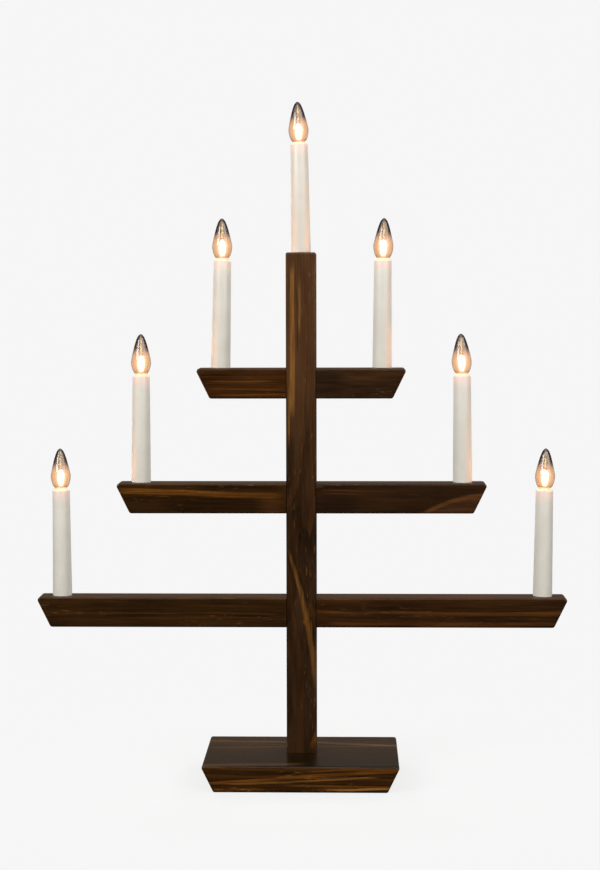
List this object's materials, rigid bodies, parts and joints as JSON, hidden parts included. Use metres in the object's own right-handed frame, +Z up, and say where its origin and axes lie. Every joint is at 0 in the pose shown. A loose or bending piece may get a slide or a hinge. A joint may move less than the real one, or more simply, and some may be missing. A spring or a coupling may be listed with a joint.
{
  "type": "electric advent candlestick",
  "caption": "Stepped electric Advent candlestick in dark stained wood, with candle tubes and screw-in flame lamps.",
  "frame": {"origin": "middle of the base block's underside, on the surface that it stands on", "axes": "+Z up along the post, front faces -Y, +X to the right seen from the front"},
  "size_m": [0.5288, 0.13, 0.6747],
  "materials": {
    "base_wood": "dark stain, semi-gloss",
    "post_wood": "dark stain, semi-gloss",
    "upper_left_wood": "dark stain, semi-gloss",
    "upper_right_wood": "dark stain, semi-gloss",
    "middle_left_wood": "dark stain, semi-gloss",
    "middle_right_wood": "dark stain, semi-gloss",
    "lower_left_wood": "dark stain, semi-gloss",
    "lower_right_wood": "dark stain, semi-gloss",
    "dowel_wood": "plain",
    "screw_steel": "zinc plated",
    "bottom_plate": "matte",
    "cover_strip": "matte",
    "bush_plastic": "matte",
    "terminal_plastic": "matte",
    "lead_jacket": "matte",
    "plug_plastic": "matte",
    "socket_brass": "bright",
    "candle_plastic": "satin",
    "holder_plastic": "satin",
    "contact_solder": "solder",
    "lamp_cap_metal": "nickel plated",
    "lamp_glass": "clear",
    "lamp_filament": "lit"
  },
  "bodies": {
    "stand": {"base_block": "base_wood", "post": "post_wood", "upper_left_arm": "upper_left_wood", "upper_right_arm": "upper_right_wood", "middle_left_arm": "middle_left_wood", "middle_right_arm": "middle_right_wood", "lower_left_arm": "lower_left_wood", "lower_right_arm": "lower_right_wood", "arm_dowels": "dowel_wood", "base_screws": "screw_steel", "base_plate": "bottom_plate", "plate_screws": "screw_steel", "groove_covers": "cover_strip", "cord_bush": "bush_plastic", "terminal_block": "terminal_plastic", "series_leads": "lead_jacket", "tube_plugs": "plug_plastic", "socket_contacts": "socket_brass", "candle_tube_top": "candle_plastic", "lamp_holder_top": "holder_plastic", "candle_tube_upper_left": "candle_plastic", "lamp_holder_upper_left": "holder_plastic", "candle_tube_upper_right": "candle_plastic", "lamp_holder_upper_right": "holder_plastic", "candle_tube_middle_left": "candle_plastic", "lamp_holder_middle_left": "holder_plastic", "candle_tube_middle_right": "candle_plastic", "lamp_holder_middle_right": "holder_plastic", "candle_tube_lower_left": "candle_plastic", "lamp_holder_lower_left": "holder_plastic", "candle_tube_lower_right": "candle_plastic", "lamp_holder_lower_right": "holder_plastic"},
    "contact_top": {"lamp_contact_top": "contact_solder"},
    "lamp_top": {"lamp_cap_top": "lamp_cap_metal", "lamp_glass_top": "lamp_glass", "lamp_mount_top": "lamp_filament"},
    "contact_upper_left": {"lamp_contact_upper_left": "contact_solder"},
    "lamp_upper_left": {"lamp_cap_upper_left": "lamp_cap_metal", "lamp_glass_upper_left": "lamp_glass", "lamp_mount_upper_left": "lamp_filament"},
    "contact_upper_right": {"lamp_contact_upper_right": "contact_solder"},
    "lamp_upper_right": {"lamp_cap_upper_right": "lamp_cap_metal", "lamp_glass_upper_right": "lamp_glass", "lamp_mount_upper_right": "lamp_filament"},
    "contact_middle_left": {"lamp_contact_middle_left": "contact_solder"},
    "lamp_middle_left": {"lamp_cap_middle_left": "lamp_cap_metal", "lamp_glass_middle_left": "lamp_glass", "lamp_mount_middle_left": "lamp_filament"},
    "contact_middle_right": {"lamp_contact_middle_right": "contact_solder"},
    "lamp_middle_right": {"lamp_cap_middle_right": "lamp_cap_metal", "lamp_glass_middle_right": "lamp_glass", "lamp_mount_middle_right": "lamp_filament"},
    "contact_lower_left": {"lamp_contact_lower_left": "contact_solder"},
    "lamp_lower_left": {"lamp_cap_lower_left": "lamp_cap_metal", "lamp_glass_lower_left": "lamp_glass", "lamp_mount_lower_left": "lamp_filament"},
    "contact_lower_right": {"lamp_contact_lower_right": "contact_solder"},
    "lamp_lower_right": {"lamp_cap_lower_right": "lamp_cap_metal", "lamp_glass_lower_right": "lamp_glass", "lamp_mount_lower_right": "lamp_filament"}
  },
  "joints": [
    {"name": "lamp_top_rise", "type": "slide", "parent": "stand", "child": "contact_top", "axis": [-0.0157, 0, 0.9999], "range_m": [0, 0.00726]},
    {"name": "lamp_top_turn", "type": "hinge", "parent": "contact_top", "child": "lamp_top", "pos_m": [-0.00161, 0.006, 0.62889], "axis": [-0.0157, 0, 0.9999], "range_deg": [0, 1440]},
    {"name": "lamp_upper_left_rise", "type": "slide", "parent": "stand", "child": "contact_upper_left", "axis": [0.0209, 0, 0.9998], "range_m": [0, 0.00726]},
    {"name": "lamp_upper_left_turn", "type": "hinge", "parent": "contact_upper_left", "child": "lamp_upper_left", "pos_m": [-0.07826, 0.006, 0.51453], "axis": [0.0209, 0, 0.9998], "range_deg": [0, 1440]},
    {"name": "lamp_upper_right_rise", "type": "slide", "parent": "stand", "child": "contact_upper_right", "axis": [0.007, 0, 1], "range_m": [0, 0.00726]},
    {"name": "lamp_upper_right_turn", "type": "hinge", "parent": "contact_upper_right", "child": "lamp_upper_right", "pos_m": [0.08111, 0.006, 0.51441], "axis": [0.007, 0, 1], "range_deg": [0, 1440]},
    {"name": "lamp_middle_left_rise", "type": "slide", "parent": "stand", "child": "contact_middle_left", "axis": [0.007, 0, 1], "range_m": [0, 0.00726]},
    {"name": "lamp_middle_left_turn", "type": "hinge", "parent": "contact_middle_left", "child": "lamp_middle_left", "pos_m": [-0.16009, 0.006, 0.40001], "axis": [0.007, 0, 1], "range_deg": [0, 1440]},
    {"name": "lamp_middle_right_rise", "type": "slide", "parent": "stand", "child": "contact_middle_right", "axis": [-0.007, 0, 1], "range_m": [0, 0.00726]},
    {"name": "lamp_middle_right_turn", "type": "hinge", "parent": "contact_middle_right", "child": "lamp_middle_right", "pos_m": [0.16009, 0.006, 0.40001], "axis": [-0.007, 0, 1], "range_deg": [0, 1440]},
    {"name": "lamp_lower_left_rise", "type": "slide", "parent": "stand", "child": "contact_lower_left", "axis": [-0.0035, 0, 1], "range_m": [0, 0.00726]},
    {"name": "lamp_lower_left_turn", "type": "hinge", "parent": "contact_lower_left", "child": "lamp_lower_left", "pos_m": [-0.24156, 0.006, 0.28558], "axis": [-0.0035, 0, 1], "range_deg": [0, 1440]},
    {"name": "lamp_lower_right_rise", "type": "slide", "parent": "stand", "child": "contact_lower_right", "axis": [0.0122, 0, 0.9999], "range_m": [0, 0.00726]},
    {"name": "lamp_lower_right_turn", "type": "hinge", "parent": "contact_lower_right", "child": "lamp_lower_right", "pos_m": [0.24245, 0.006, 0.28566], "axis": [0.0122, 0, 0.9999], "range_deg": [0, 1440]}
  ],
  "couplings": [
    {"joint": "lamp_top_rise", "follows": "lamp_top_turn", "m_per_rad": 0.00028871},
    {"joint": "lamp_upper_left_rise", "follows": "lamp_upper_left_turn", "m_per_rad": 0.00028871},
    {"joint": "lamp_upper_right_rise", "follows": "lamp_upper_right_turn", "m_per_rad": 0.00028871},
    {"joint": "lamp_middle_left_rise", "follows": "lamp_middle_left_turn", "m_per_rad": 0.00028871},
    {"joint": "lamp_middle_right_rise", "follows": "lamp_middle_right_turn", "m_per_rad": 0.00028871},
    {"joint": "lamp_lower_left_rise", "follows": "lamp_lower_left_turn", "m_per_rad": 0.00028871},
    {"joint": "lamp_lower_right_rise", "follows": "lamp_lower_right_turn", "m_per_rad": 0.00028871}
  ]
}
